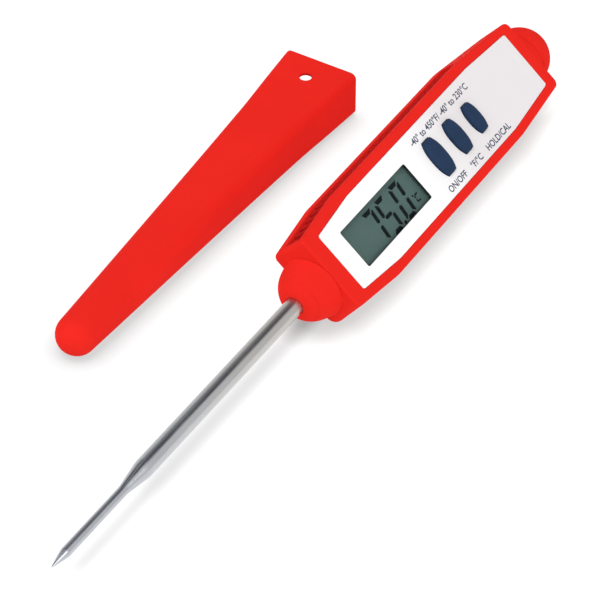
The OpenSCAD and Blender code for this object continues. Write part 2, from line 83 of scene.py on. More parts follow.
def soften(states, rho, k=6):
    """A polyline of states with each inner corner rounded, rho long on either side."""
    out = [states[0]]
    for i in range(1, len(states) - 1):
        a, b, c = (Vector(s) for s in states[i - 1:i + 2])
        r = rho[i - 1]
        if r <= 0:
            out.append(tuple(b))
            continue
        p = b + (a - b) * min(r / (a - b).length, 0.48)
        q = b + (c - b) * min(r / (c - b).length, 0.48)
        for j in range(k + 1):
            t = j / k
            out.append(tuple(p * (1 - t) ** 2 + b * 2 * t * (1 - t) + q * t * t))
    return out + [states[-1]]


def new_object(name, verts, faces):
    me = bpy.data.meshes.new(name)
    me.from_pydata(verts, [], faces)
    me.update()
    ob = bpy.data.objects.new(name, me)
    scene.collection.objects.link(ob)
    return ob


def loft(name, rings, close=True, loop=False):
    k = len(rings[0])
    verts = [p for r in rings for p in r]
    faces = []
    n = len(rings)
    for i in range(n if loop else n - 1):
        for j in range(k):
            m, h = (j + 1) % k, (i + 1) % n
            faces.append((i * k + j, i * k + m, h * k + m, h * k + j))
    if close and not loop:
        faces.append(tuple(reversed(range(k))))
        faces.append(tuple((n - 1) * k + j for j in range(k)))
    ob = new_object(name, verts, faces)
    fix_normals(ob)
    return ob


def fix_normals(ob):
    import bmesh
    bm = bmesh.new()
    bm.from_mesh(ob.data)
    bmesh.ops.recalc_face_normals(bm, faces=bm.faces)
    if bm.calc_volume(signed=True) < 0:
        bmesh.ops.reverse_faces(bm, faces=bm.faces)
    bm.to_mesh(ob.data)
    bm.free()


def prism(name, outline, z0, z1):
    return loft(name, [[(x, y, z0) for x, y in outline], [(x, y, z1) for x, y in outline]])


def block(name, x0, y0, z0, x1, y1, z1):
    return prism(name, [(x0, y0), (x1, y0), (x1, y1), (x0, y1)], z0, z1)


def lathe(name, profile, n=96, y=0.0, z=0.0):
    """Profile points (x, r) turned about X; a closed loop of points makes a closed skin."""
    verts, faces, rows = [], [], []
    for x, r in profile:
        if r < 1e-6:
            rows.append([len(verts)])
            verts.append((x, y, z))
        else:
            rows.append(list(range(len(verts), len(verts) + n)))
            verts += [(x, y + r * math.cos(2 * math.pi * j / n), z + r * math.sin(2 * math.pi * j / n)) for j in range(n)]
    for a, b in zip(rows, rows[1:] + rows[:1]):
        if len(a) == 1 and len(b) == 1:
            continue
        for j in range(n):
            m = (j + 1) % n
            if len(a) == 1:
                faces.append((a[0], b[m], b[j]))
            elif len(b) == 1:
                faces.append((a[j], a[m], b[0]))
            else:
                faces.append((a[j], a[m], b[m], b[j]))
    ob = new_object(name, verts, faces)
    fix_normals(ob)
    return ob


def rod(name, x0, x1, r, y=0.0, z=0.0, n=64):
    return lathe(name, [(x0, 0), (x0, r), (x1, r), (x1, 0)], n, y, z)


def post(name, x, y, z0, z1, r, n=32):
    return prism(name, [(x + r * math.cos(2 * math.pi * j / n), y + r * math.sin(2 * math.pi * j / n)) for j in range(n)], z0, z1)


def combine(ob, others, operation):
    for c in others:
        m = ob.modifiers.new("b", "BOOLEAN")
        m.operation, m.object, m.solver = operation, c, "EXACT"
    dg = bpy.context.evaluated_depsgraph_get()
    me = bpy.data.meshes.new_from_object(ob.evaluated_get(dg))
    ob.modifiers.clear()
    old, ob.data = ob.data, me
    me.name = ob.name
    bpy.data.meshes.remove(old)
    for c in others:
        d = c.data
        bpy.data.objects.remove(c)
        bpy.data.meshes.remove(d)
    return ob


def place(ob, body, matrix, replaced=(), angle=32):
    """Puts a piece made in millimetres into the row frame, with smooth shading, riding on a body."""
    import bmesh
    bm = bmesh.new()
    bm.from_mesh(ob.data)
    bmesh.ops.remove_doubles(bm, verts=bm.verts, dist=2e-4)
    bmesh.ops.dissolve_degenerate(bm, edges=bm.edges, dist=1e-4)
    bm.to_mesh(ob.data)
    bm.free()
    ob.data.transform(matrix)
    for p in ob.data.polygons:
        p.use_smooth = True
    ob.data.set_sharp_from_angle(angle=math.radians(angle))
    w = ob.modifiers.new("normals", "WEIGHTED_NORMAL")
    w.keep_sharp = True
    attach(ob, body)
    if replaced:
        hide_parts(*replaced)
    return ob


# ------------------------------------------------------------------ materials
def material(name, base, rough, metallic=0.0, spec=0.5, vary=0.04, vary_scale=60.0, rough_vary=0.05,
             grain_scale=3500.0, grain=0.06, grain_depth=2e-5, stretch=None, second=None, gradient=None, alpha=None,
             coat=0.0, coat_rough=0.1, ior=1.5, subsurface=0.0):
    """A Principled material: cloudy colour, uneven gloss and a fine moulded or ground grain, all in the row frame."""
    m = bpy.data.materials.new(name)
    m.use_nodes = True
    t = m.node_tree
    b = t.nodes["Principled BSDF"]
    link = t.links.new

    def node(kind, **values):
        n = t.nodes.new(kind)
        for k, v in values.items():
            setattr(n, k, v)
        return n

    coord = node("ShaderNodeTexCoord")
    mapping = node("ShaderNodeMapping")
    mapping.inputs["Scale"].default_value = stretch or (1, 1, 1)
    link(coord.outputs["Object"], mapping.inputs["Vector"])

    cloud = node("ShaderNodeTexNoise")
    cloud.inputs["Scale"].default_value = vary_scale
    cloud.inputs["Detail"].default_value = 3
    link(coord.outputs["Object"], cloud.inputs["Vector"])
    grains = node("ShaderNodeTexNoise")
    grains.inputs["Scale"].default_value = grain_scale
    grains.inputs["Detail"].default_value = 4
    grains.inputs["Roughness"].default_value = 0.6
    link(mapping.outputs["Vector"], grains.inputs["Vector"])

    lo = [max(0, c * (1 - vary)) for c in base[:3]]
    hi = list(second[:3]) if second else [min(1, c * (1 + vary)) for c in base[:3]]
    ramp = node("ShaderNodeValToRGB")
    ramp.color_ramp.elements[0].position, ramp.color_ramp.elements[1].position = 0.3, 0.7
    ramp.color_ramp.elements[0].color = (*lo, 1)
    ramp.color_ramp.elements[1].color = (*hi, 1)
    link(cloud.outputs["Fac"], ramp.inputs["Fac"])
    colour = ramp.outputs["Color"]
    if gradient:
        axis, x0, x1, end = gradient
        sep = node("ShaderNodeSeparateXYZ")
        link(coord.outputs["Object"], sep.inputs["Vector"])
        span = node("ShaderNodeMapRange")
        span.inputs["From Min"].default_value, span.inputs["From Max"].default_value = x0, x1
        link(sep.outputs[axis], span.inputs["Value"])
        mix = node("ShaderNodeMix", data_type="RGBA")
        link(span.outputs["Result"], mix.inputs["Factor"])
        link(colour, mix.inputs["A"])
        mix.inputs["B"].default_value = (*end, 1)
        colour = mix.outputs["Result"]
    link(colour, b.inputs["Base Color"])

    gloss = node("ShaderNodeMapRange")
    gloss.inputs["From Min"].default_value, gloss.inputs["From Max"].default_value = 0.3, 0.7
    gloss.inputs["To Min"].default_value = max(0.02, rough - rough_vary)
    gloss.inputs["To Max"].default_value = min(1, rough + rough_vary)
    link(grains.outputs["Fac"], gloss.inputs["Value"])
    link(gloss.outputs["Result"], b.inputs["Roughness"])

    if grain > 0:
        bump = node("ShaderNodeBump")
        bump.inputs["Strength"].default_value = grain
        bump.inputs["Distance"].default_value = grain_depth
        link(grains.outputs["Fac"], bump.inputs["Height"])
        link(bump.outputs["Normal"], b.inputs["Normal"])
    b.inputs["Metallic"].default_value = metallic
    b.inputs["Specular IOR Level"].default_value = spec
    b.inputs["IOR"].default_value = ior
    if coat:
        b.inputs["Coat Weight"].default_value = coat
        b.inputs["Coat Roughness"].default_value = coat_rough
    if subsurface:
        b.inputs["Subsurface Weight"].default_value = subsurface
        b.inputs["Subsurface Radius"].default_value = (0.0012, 0.0003, 0.0002)
        b.inputs["Subsurface Scale"].default_value = 1.0
    if alpha is not None:
        b.inputs["Alpha"].default_value = alpha
    return m


RED = (0.755, 0.0205, 0.0143)
MAT = {
    # a darker red that paints the shade of the side channels onto their skin and ribs
    "red_painted_shade": material("red_painted_shade", (0.42, 0.011, 0.010), 0.7, spec=0.02, vary=0.08, vary_scale=240, grain_scale=4200, grain=0.12,
                         grain_depth=2.5e-5),
    "red_plastic": material("red_plastic", RED, 0.66, spec=0.01, vary=0.03, vary_scale=90, rough_vary=0.05,
                            grain_scale=5200, grain=0.10, grain_depth=2.5e-5),
    "dark_red_rubber": material("dark_red_rubber", (0.16, 0.008, 0.006), 0.7, vary=0.1, grain_scale=3000, grain=0.15),
    "white_label": material("white_label", (0.93, 0.93, 0.93), 0.45, spec=0.12, vary=0.012, vary_scale=160, rough_vary=0.05,
                            grain_scale=7000, grain=0.05, grain_depth=1.5e-5, gradient=("X", -0.005, 0.010, (0.755, 0.72, 0.727))),
    "clear_lens": material("clear_lens", (0.02, 0.028, 0.027), 0.06, spec=0.1, vary=0.1, rough_vary=0.02, grain_scale=900, grain=0.0,
                           alpha=0.04),
    "display_glass": material("display_glass", (0.088, 0.148, 0.134), 0.22, spec=0.1, vary=0.05, vary_scale=110, rough_vary=0.05,
                              grain_scale=9000, grain=0.03, grain_depth=6e-6),
    "display_ink": material("display_ink", (0.002, 0.006, 0.007), 0.35, spec=0.1, vary=0.2, vary_scale=900, grain=0.0),
    "display_foil": material("display_foil", (0.6, 0.62, 0.6), 0.35, metallic=0.8, grain_scale=6000, grain=0.1),
    "ivory_plastic": material("ivory_plastic", (0.74, 0.72, 0.64), 0.5, vary=0.04, grain_scale=4000, grain=0.1),
    "black_rubber": material("black_rubber", (0.018, 0.018, 0.019), 0.62, vary=0.2, grain_scale=3200, grain=0.18),
    "board_green": material("board_green", (0.012, 0.105, 0.045), 0.32, vary=0.12, vary_scale=700, grain_scale=2600, grain=0.12,
                            coat=0.3, coat_rough=0.15),
    "black_plastic": material("black_plastic", (0.015, 0.015, 0.016), 0.45, vary=0.2, grain_scale=5000, grain=0.14),
    "ceramic": material("ceramic", (0.36, 0.25, 0.16), 0.4, vary=0.15, vary_scale=900, grain_scale=5000, grain=0.08),
    "plated_steel": material("plated_steel", (0.66, 0.65, 0.63), 0.26, metallic=1.0, vary=0.04, rough_vary=0.07,
                             grain_scale=2600, grain=0.05),
    "navy_rubber": material("navy_rubber", (0.014, 0.034, 0.080), 0.55, spec=0.1, vary=0.08, vary_scale=500, rough_vary=0.06,
                            grain_scale=5200, grain=0.12, grain_depth=2e-5),
    "stainless": material("stainless", (0.50, 0.515, 0.55), 0.24, gradient=("X", -0.09, -0.045, (0.53, 0.515, 0.49)), metallic=1.0, vary=0.05, vary_scale=220, rough_vary=0.08,
                          grain_scale=1500, grain=0.10, grain_depth=8e-6, stretch=(0.06, 1, 1)),
    "contact_brass": material("contact_brass", (0.72, 0.52, 0.22), 0.28, metallic=1.0, vary=0.06, grain_scale=2400, grain=0.06),
    "print_ink": material("print_ink", (0.040, 0.055, 0.105), 0.55, vary=0.12, vary_scale=1500, grain=0.0),
}
slots = {s["node"]: s["material_slot"] for s in frame["record"]["subparts"]}
for name, ob in N.items():
    ob.data.materials.clear()
    ob.data.materials.append(MAT[slots[name]])


def paint(ob, name):
    ob.data.materials.clear()
    ob.data.materials.append(MAT[name])
    return ob


def dress(node, width=None, angle=30):
    """A CAD node kept as it is: welded, its edges broken a little, shaded smooth."""
    ob = N[node]
    w = ob.modifiers.new("weld", "WELD")
    w.merge_threshold = 1e-6
    if width:
        b = ob.modifiers.new("edges", "BEVEL")
        b.width, b.segments, b.limit_method = width * 1e-3, 2, "ANGLE"
        b.angle_limit = math.radians(angle)
        b.use_clamp_overlap = True
    for p in ob.data.polygons:
        p.use_smooth = True
    n = ob.modifiers.new("normals", "WEIGHTED_NORMAL")
    n.keep_sharp = False


# ------------------------------------------------------------------ case
def case_ring(z, g, e, r, s):
    return [(x, y, z) for x, y in plan(g, e, max(r, 0.3), s=s)]


tan = math.tan(FA)
depth = CB - BELT
g_belt, g_top = DR * (CF + BELT), DR * (CF - 2.6)
fall = depth / tan
GROOVE, LIP = 1.0, 0.7
states = soften([
    (-CB, g_belt - fall - 1.0, depth + 1.0, 0.4, fall + 0.5),
    (-CB, g_belt - fall, depth, 0.4, fall),
    (-BELT, g_belt, 0, 0.8, 0),
    (LIP, DR * (CF - LIP), 0, 0.8, 0),
    (LIP, g_top - GROOVE, 0, 0.8, GROOVE),
    (4.9, g_top - GROOVE, 0, 0.8, GROOVE),
    (4.9, g_top - GROOVE - 0.5, 0.4, 0.7, GROOVE + 0.5)], [0.7, 1.3, 0.25, 0.2, 0.1])
case = loft("case_shell", [case_ring(*s) for s in states])
# solid ends, where the side channels stop
ends = loft("ends", [case_ring(*s) for s in soften([
    (0.1, DR * 6.4, 0, 0.8, 0), (4.94, DR * 1.56, 0, 0.8, 0), (4.94, DR * 1.56 - 0.5, 0.4, 0.7, 0.5)], [0.03])])
combine(ends, [block("mid", -CP + 1.2, -15, 0, SH, 15, 9)], "DIFFERENCE")
combine(case, [ends], "UNION")


def arc(cx, r, a0, a1, n):
    return [(cx + r * math.cos(math.radians(a0 + (a1 - a0) * i / n)), r * math.sin(math.radians(a0 + (a1 - a0) * i / n))) for i in range(n + 1)]


nose = lathe("nose", [(-27.5, 0), (-27.5, 5.75)] + [(x, r) for x, r in arc(-34.24, 5.75, 90, 180, 28)], 128)
for v in nose.data.vertices:
    # flared into the end face on the upper side
    r = math.hypot(v.co.y, v.co.z)
    if r > 4.0:
        up = min(1, max(0, (v.co.z / r + 0.45) / 0.7))
        flare = max(0, min(6.25, 6.25 - 0.468 * (-34.4 - v.co.x)) - r)
        k = 1 + flare * up * up * (3 - 2 * up) / r
        v.co.y, v.co.z = v.co.y * k, v.co.z * k
nose.data.transform(Matrix.Translation((-0.2, -0.25, 0.15)))
boss = lathe("boss", [(26, 0), (26, 5.85)] + soften([(39.0, 5.85), (40.0, 5.85), (40.0, 4.0)], [0.22], 5) + [(40.0, 0)], 128)
cut = block("cut", -CP - 0.06, -10, 4.9, CC + 0.06, 10, 9)
cut2 = block("cut2", -CP - 0.06, -10, 4.9, CC + 0.06, 10, 9)
combine(nose, [cut], "DIFFERENCE")
combine(boss, [cut2], "DIFFERENCE")
combine(case, [nose, boss], "UNION")


def outline8(x0, y0, xs, ys, x1, y1, r, n=3):
    return rounded([(x0, y0), (-xs, ys), (xs, ys), (x1, y1), (x1, -y1), (xs, -ys), (-xs, -ys), (x0, -y0)], r, n)


cavity = loft("cavity", [
    [(x, y, -6.1) for x, y in outline8(-23.5, 1.9, 20.0, 2.0, 20.5, 1.9, [0.02] * 8)],
    [(x, y, -2.0) for x, y in outline8(-27, 6.9, 21.5, 7.7, 24, 7.4, [1, 3, 3, 1, 1, 3, 3, 1])],
    [(x, y, 5.4) for x, y in outline8(-27, 6.6, 21.5, 7.3, 24, 7.1, [1, 3, 3, 1, 1, 3, 3, 1])]])
combine(case, [cavity], "DIFFERENCE")
SCREWS = [(-20, 5.2), (-20, -5.2), (21, 5.2), (21, -5.2)]
combine(case, [post("p%d" % i, x, y, -4, 1.2, 1.5) for i, (x, y) in enumerate(SCREWS)], "UNION")
combine(case, [block("c0", -29.3, -6.1, 3.3, -25.3, 5.9, 6.3),
               lathe("c1", [(-45, 0), (-45, 1.75), (-38.5, 1.75), (-38.5, 1.55), (-30, 1.55), (-30, 0)], 96, y=-0.18, z=0.15),
               rod("c2", -31, -26, 3.0), rod("c3", -27, -25.2, 3.6), rod("c4", 25.5, 45, 4.25, n=96),
               rod("c5", 23, 26, 0.45, y=3, n=24), block("c6", 23, -1.6, 3.6, 26, 1.6, 4.35)]
        + [post("h%d" % i, x, y, -1.8, 2.2, 0.66, 24) for i, (x, y) in enumerate(SCREWS)], "DIFFERENCE")
paint(place(case, "root", LIE, ["case_body"]), "red_plastic")
# the nose runs smoothly into the end face
back = LIE.inverted()
for e in case.data.edges:
    if e.use_edge_sharp:
        q = back @ ((case.data.vertices[e.vertices[0]].co + case.data.vertices[e.vertices[1]].co) / 2)
        if -38.5 < q.x < -29.5 and 5.0 < math.hypot(q.y + 0.25, q.z - 0.15) < 7.2 and q.z < 4.85:
            e.use_edge_sharp = False

# finger ribs in the side channel, part of the case moulding, painted in the darker red that paints the channel's shade
rib_v, rib_f = [], []


def side_point(x, g):
    if x < -SH:
        t = (x + CP) / (CP - SH)
        return PEW / 2 + (CW - PEW) / 2 * t + g, Vector((-(CW - PEW) / 2, CP - SH)).normalized()
    return CW / 2 + g, Vector((0, 1))


for side in (1, -1):
    for i in range(27):
        x = -32.0 + 2.0 * i
        y, nrm = side_point(x, g_top - GROOVE)
        tang = Vector((nrm.y, -nrm.x))
        base = len(rib_v)
        sect = [(-0.5, -0.12), (-0.44, 0.45), (-0.3, 0.66), (0, 0.74), (0.3, 0.66), (0.44, 0.45), (0.5, -0.12)]
        for z, sc in ((LIP - 0.15, 1.0), (4.55, 1.0), (4.78, 0.75), (4.88, 0.35)):
            for a, b in sect:
                q = Vector((x, y)) + tang * a + nrm * (b * sc if b > 0 else b)
                rib_v.append((q.x, side * q.y, z))
        k = len(sect)
        for r in range(3):
            for j in range(k):
                m = (j + 1) % k
                rib_f.append((base + r * k + j, base + r * k + m, base + (r + 1) * k + m, base + (r + 1) * k + j))
        rib_f.append(tuple(base + j for j in reversed(range(k))))
        rib_f.append(tuple(base + 3 * k + j for j in range(k)))
ribs = new_object("grip_ribs", rib_v, rib_f)
fix_normals(ribs)
paint(place(ribs, "root", LIE, angle=50), "red_painted_shade")

# painted shade in the side channels: a thin dark skin on their floor, where the recess lies in shade
shade_sheet = loft("channel_shade_sheet", [case_ring(z, g_top - GROOVE + 0.04, 0.04, 0.8, GROOVE - 0.04) for z in (LIP + 0.02, 4.88)])
inner = loft("inner", [case_ring(z, g_top - GROOVE - 0.06, -1.0, 0.8, GROOVE + 0.06) for z in (0.2, 5.4)])
combine(shade_sheet, [inner, block("l0", -60, -15, 0, -CP + 1.1, 15, 9), block("l1", SH + 0.1, -15, 0, 60, 15, 9)], "DIFFERENCE")
paint(place(shade_sheet, "root", LIE, angle=40), "red_painted_shade")

# ------------------------------------------------------------------ bezel
states = soften([
    (4.95, DR * 1.55 - 0.4, 0.4, 0.8, 0.4), (4.95, DR * 1.55, 0, 0.8, 0), (CF, 0, 0, 0.8, 0), (CF, -1.4, 1.4, 0.6, 1.4)], [0.03, 0.62], 8)[:-1]
bezel = loft("front_frame", [case_ring(*s) for s in states])
combine(bezel, [prism("seat", plan(DR * 1.6 - 1.05, 0.85, 0.6, s=1.05), 4, 5.2)], "DIFFERENCE")
combine(bezel, [block("r%d" % i, -20, y, 4.1, 20, y + 0.7, 5.3) for i, y in enumerate((6.45, -7.15))]
        + [post("q%d" % i, x, y, 3.6, 5.6, 0.75, 24) for i, (x, y) in enumerate([(-1.2, 5.4), (-1.2, -5.4), (19.6, 5.4), (19.6, -5.4)])], "UNION")
lab = rounded(LABEL, LABEL_R, 6)


def grow(outline, d):
    out = []
    for i in range(len(outline)):
        a, b = Vector(outline[i - 1]), Vector(outline[(i + 1) % len(outline)])
        t = (b - a).normalized()
        out.append((outline[i][0] + t.y * d * GROW_SIGN, outline[i][1] - t.x * d * GROW_SIGN))
    return out


area = sum(lab[i - 1][0] * lab[i][1] - lab[i][0] * lab[i - 1][1] for i in range(len(lab)))
GROW_SIGN = 1 if area > 0 else -1
recess = loft("recess", [[(x, y, z) for x, y in grow(lab, d)] for z, d in ((6.2, 0), (6.36, 0), (6.45, 0.04), (6.5, 0.12), (8, 0.12))])


def barrel(w, l, g=0.0, n=24):
    a, b = w / 2 + g, l / 2 + g
    f = lambda t: a * (1 - 0.46 * abs(t) ** 2.6)
    return [(f(i / n), b * i / n) for i in range(-n, n + 1)] + [(-f(-i / n), -b * i / n) for i in range(-n, n + 1)]


def key_prism(name, key, g, z0, z1):
    return prism(name, [(key[2] + x, KEY_Y + y) for x, y in barrel(key[3], key[4], g)], z0, z1)


combine(bezel, [recess, block("w0", -27.7, -5.3, 5.65, -2.7, 4.9, 7.7), block("w1", -26.9, -4.6, 4, -3.5, 4.2, 7)]
        + [key_prism("k%d" % i, k, 0.15, 4, 8) for i, k in enumerate(KEYS)], "DIFFERENCE")
paint(place(bezel, "root", LIE, ["front_bezel"]), "red_plastic")

# ------------------------------------------------------------------ label film with its window and key openings
film = [(x - math.copysign(0.05, x), y - math.copysign(0.05, y)) for x, y in lab]
label = loft("face_label", [[(x, y, z) for x, y in grow(film, d)] for z, d in ((6.2, 0), (6.44, 0), (6.485, -0.03), (6.5, -0.09))])
x0, x1, y0, y1 = WIN
pane = rounded([(x0, y1), (x1, y1), (x1, y0), (x0, y0)], [0.35] * 4, 6)
area = sum(pane[i - 1][0] * pane[i][1] - pane[i][0] * pane[i - 1][1] for i in range(len(pane)))
GROW_SIGN = 1 if area > 0 else -1
pane_cut = loft("pane_cut", [[(x, y, z) for x, y in grow(pane, d)] for z, d in ((5.2, 0), (6.42, 0), (6.47, 0.02), (6.5, 0.06), (7.5, 0.06))])
combine(label, [pane_cut] + [key_prism("m%d" % i, k, 0.15, 4, 8) for i, k in enumerate(KEYS)], "DIFFERENCE")
paint(place(label, "root", LIE, ["label_overlay"]), "white_label")

# a dark ring inside the window opening, painted shade standing in for the shadow at the film's cut edge
edge = loft("window_shade_ring", [[(x, y, z) for x, y in grow(pane, -0.012)] for z in (6.206, 6.47)])
combine(edge, [loft("inside", [[(x, y, z) for x, y in grow(pane, -0.075)] for z in (6.0, 6.7)])], "DIFFERENCE")
paint(place(edge, "root", LIE), "black_plastic")

# ------------------------------------------------------------------ keys
for k in KEYS:
    top = CF + KEY_UP
    rings = []
    for z, g in ((4.4, 0.45), (4.48, 0.55), (5.02, 0.55), (5.1, 0.47), (5.1, 0.05), (5.18, 0.0), (top - 0.46, 0), (top - 0.36, -0.015),
                 (top - 0.27, -0.05), (top - 0.18, -0.11), (top - 0.11, -0.19), (top - 0.06, -0.29), (top - 0.025, -0.42)):
        rings.append([(k[2] + x, KEY_Y + y, z) for x, y in barrel(k[3], k[4], g)])
    rim = barrel(k[3], k[4], -0.42)
    for s, dz in ((0.85, 0.0), (0.6, 0.022), (0.3, 0.035), (0.04, 0.04)):
        rings.append([(k[2] + x * s, KEY_Y + y * s, top - 0.018 + dz) for x, y in rim])
    key = loft(k[0] + "_cap", rings)
    combine(key, [post("stem", k[2], KEY_Y, 3.1, 4.6, 1.0)], "UNION")
    paint(place(key, k[1], LIE, [k[0]], angle=40), "navy_rubber")

# ------------------------------------------------------------------ probe
T = -111.2
outer = soften([(-39.0, 1.7), (T + 25.3, 1.7), (T + 19.9, 0.9), (T + 3.8, 0.9), (T + 0.2, 0.12), (T, 0.0)],
               [0.9, 0.7, 0.25, 0.1], 6)
stem = lathe("probe_tube", [(-25, 1.1), (-25, 1.5), (-32, 1.5), (-39.0, 1.5)] + outer
             + [(T + 5.0, 0), (T + 5.0, 0.55), (T + 19.9, 0.55), (T + 25.3, 1.1)], 128)
# the stem's outside stands half a degree off the case's axis; its bore stays on it
for v in stem.data.vertices:
    x, r = v.co.x, math.hypot(v.co.y, v.co.z)
    if x < T + 4.9 or r > 0.63 + 0.55 * min(1, max(0, (x - T - 19.9) / 5.4)):
        d = (-0.214 - 0.00855 * (x + 42)) * min(1, max(0, (-32 - x) / 7))
        v.co += Vector((0, d * math.cos(FA), -d * math.sin(FA)))
paint(place(stem, "root", LIE, ["probe_stem"], angle=25), "stainless")

# ------------------------------------------------------------------ cell cap
DX = 40.89
cap = lathe("cell_cap", [(33.6, 0), (33.6, 3.7), (34.0, 4.1), (34.5, 4.1), (34.75, 3.8), (35.0, 4.1), (35.5, 4.1), (35.75, 3.8), (36.0, 4.1),
                         (36.5, 4.1), (36.75, 3.8), (37.0, 4.1), (37.6, 4.1), (37.6, 3.35), (38.8, 3.35), (38.8, 4.15), (40.05, 4.15)]
            + soften([(40.05, 4.2), (40.05, 5.85), (DX, 5.85)], [0.22], 5) + arc(DX, 5.85, 88, 0, 32), 128)
slot_cut = loft("slot", [[(DX + 4.55, y, z) for y, z in rounded([(-3.6, -0.6), (3.6, -0.6), (3.6, 0.6), (-3.6, 0.6)], [0.2] * 4, 4)],
                         [(DX + 8, y, z) for y, z in rounded([(-3.6, -0.6), (3.6, -0.6), (3.6, 0.6), (-3.6, 0.6)], [0.2] * 4, 4)]])
combine(cap, [slot_cut], "DIFFERENCE")
paint(place(cap, "cap", LIE, ["battery_cap"], angle=35), "red_plastic")

# ------------------------------------------------------------------ sheath
SY, TX, TR, MX, WALL = 29.9, -61.7, 3.74, 18.9, 0.8


def bend(x, table, soft=2.0):
    """A value read from a table of (x, value) rows, straight between them and rounded over each row."""
    def at(u):
        for (x0, v0), (x1, v1) in zip(table, table[1:]):
            if u <= x1 or (x1, v1) == table[-1]:
                return v0 + (v1 - v0) * (u - x0) / (x1 - x0)
    if x < table[0][0] + soft or x > table[-1][0] - soft:
        return at(x)
    return sum(at(x + soft * k / 4) for k in range(-4, 5)) / 9


sa = lambda x: bend(x, [(TX, TR), (-38, 4.72), (-14, 5.68), (2, 6.4), (11, 7.1), (MX, 7.6)])
sb = lambda x: TR + (4.7 - TR) * (x - TX) / (MX - TX)
sr = lambda x: bend(x, [(TX, TR * 0.98), (-35, 3.0), (MX, 1.2)])


def sheath_ring(x, z, a, b, r, n=14):
    out = []
    for q in range(4):
        sy, sz = (1 if q in (0, 3) else -1), (1 if q < 2 else -1)
        for i in range(n + 1):
            g = math.radians(90 * q + 90 * i / n)
            out.append((x, SY + sy * (a - r) + r * math.cos(g), z + sz * (b - r) + r * math.sin(g)))
    return out


def wall(x, g):
    return sheath_ring(x, sb(x), sa(x) - g, sb(x) - g, sr(x) - g)


def tip(t, g):
    r = TR - g
    c = r * math.cos(math.radians(t))
    return sheath_ring(TX - r * math.sin(math.radians(t)), TR, c, c, c * 0.98)


along = [TX + 0.001, -60] + [-57 + 3 * i for i in range(25)] + [17.2]
rings = [tip(t, 0) for t in (87, 82, 76, 69, 62, 54, 46, 38, 30, 22, 14, 7)] + [wall(x, 0) for x in along]
lip = soften([(MX - 0.6, 0), (MX, 0), (MX, WALL), (MX - 0.6, WALL)], [0.3, 0.26], 6)
rings += [wall(x, g) for x, g in lip]
rings += [wall(x, WALL) for x in reversed(along)] + [tip(t, WALL) for t in (7, 14, 22, 30, 38, 46, 54, 62, 69, 76, 82, 87)]
sheath = loft("slip_sheath", rings)
hr, hx, hy, hz = 1.15, 13.6, SY + 0.25, 2 * sb(13.6)
hole = []
for z, grown in ((-1, 0.25), (0.0, 0.22), (0.06, 0.1), (0.2, 0.0), (0.6, 0.0), (0.74, 0.08), (0.8, 0.16), (1.2, 0.16),
                 (hz - 1.2, 0.16), (hz - 0.8, 0.16), (hz - 0.74, 0.08), (hz - 0.6, 0.0), (hz - 0.2, 0.0), (hz - 0.06, 0.06), (hz, 0.14), (hz + 1, 0.16)):
    hole.append([(hx + (hr + grown) * math.cos(2 * math.pi * j / 64), hy + (hr + grown) * math.sin(2 * math.pi * j / 64), z) for j in range(64)])
combine(sheath, [loft("hole", hole)], "DIFFERENCE")
paint(place(sheath, "sheath", FLAT, ["sheath"], angle=35), "red_plastic")
sheath.visible_glossy = False

# ------------------------------------------------------------------ printed legends
def legend(name, text, x0, x1, y0, y1):
    cu = bpy.data.curves.new(name, "FONT")
    cu.body = text
    cu.extrude = 0.004
    cu.offset = 0.018
    cu.resolution_u = 6
    tmp = bpy.data.objects.new(name + "_text", cu)
    scene.collection.objects.link(tmp)
    bpy.context.view_layer.update()
    dg = bpy.context.evaluated_depsgraph_get()
    me = bpy.data.meshes.new_from_object(tmp.evaluated_get(dg))
    me.name = name
    bpy.data.objects.remove(tmp)
    bpy.data.curves.remove(cu)
    xs, ys = [v.co.x for v in me.vertices], [v.co.y for v in me.vertices]
    sx, sy = (x1 - x0) / (max(xs) - min(xs)), (y1 - y0) / (max(ys) - min(ys))
    lo = (min(xs), min(ys))
    for v in me.vertices:
        v.co = ((v.co.x - lo[0]) * sx + x0, (v.co.y - lo[1]) * sy + y0, CF + 0.004 + math.copysign(0.006, v.co.z))
    ob = bpy.data.objects.new(name, me)
    scene.collection.objects.link(ob)
    me.transform(LIE)
    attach(ob, "root")
    paint(ob, "print_ink")
    return ob


legend("legend_range", "-40° to 450°F/ -40° to 230°C", -0.7, 19.3, 4.4, 5.75)
legend("legend_on_off", "ON/OFF", -0.8, 5.2, -6.35, -5.05)
legend("legend_unit", "°F/°C", 7.2, 10.9, -6.35, -5.05)
legend("legend_hold", "HOLD/CAL", 13.0, 21.2, -6.35, -5.05)

# ------------------------------------------------------------------ kept CAD nodes
for n in ("case_gasket", "lens_window", "lcd_glass", "lcd_reflector", "lcd_frame", "zebra_strips", "circuit_board", "controller_chip",
          "smd_parts", "key_retainer", "contact_tab"):
    dress(n, 0.04)
for n in ("lcd_segments", "timing_crystal", "board_screws", "key_domes", "thermistor_bead", "sensor_leads", "probe_bushing", "probe_o_ring",
          "probe_collar", "cap_o_ring", "button_cell", "contact_spring"):
    dress(n)

# ------------------------------------------------------------------ camera, floor and light
E, PSI = math.radians(42.11), math.radians(58.55)
fwd = Vector((math.cos(E) * math.sin(PSI), math.cos(E) * math.cos(PSI), -math.sin(E)))
cam_data = bpy.data.cameras.new("camera")
cam_data.lens, cam_data.sensor_width = 180, 36
cam_data.clip_start, cam_data.clip_end = 0.01, 20
cam = bpy.data.objects.new("camera", cam_data)
scene.collection.objects.link(cam)
cam.location = (-0.36206, -0.19838, 0.35089)
cam.rotation_mode = "QUATERNION"
cam.rotation_quaternion = fwd.to_track_quat("-Z", "Y")
scene.camera = cam
scene.view_settings.view_transform = "Standard"

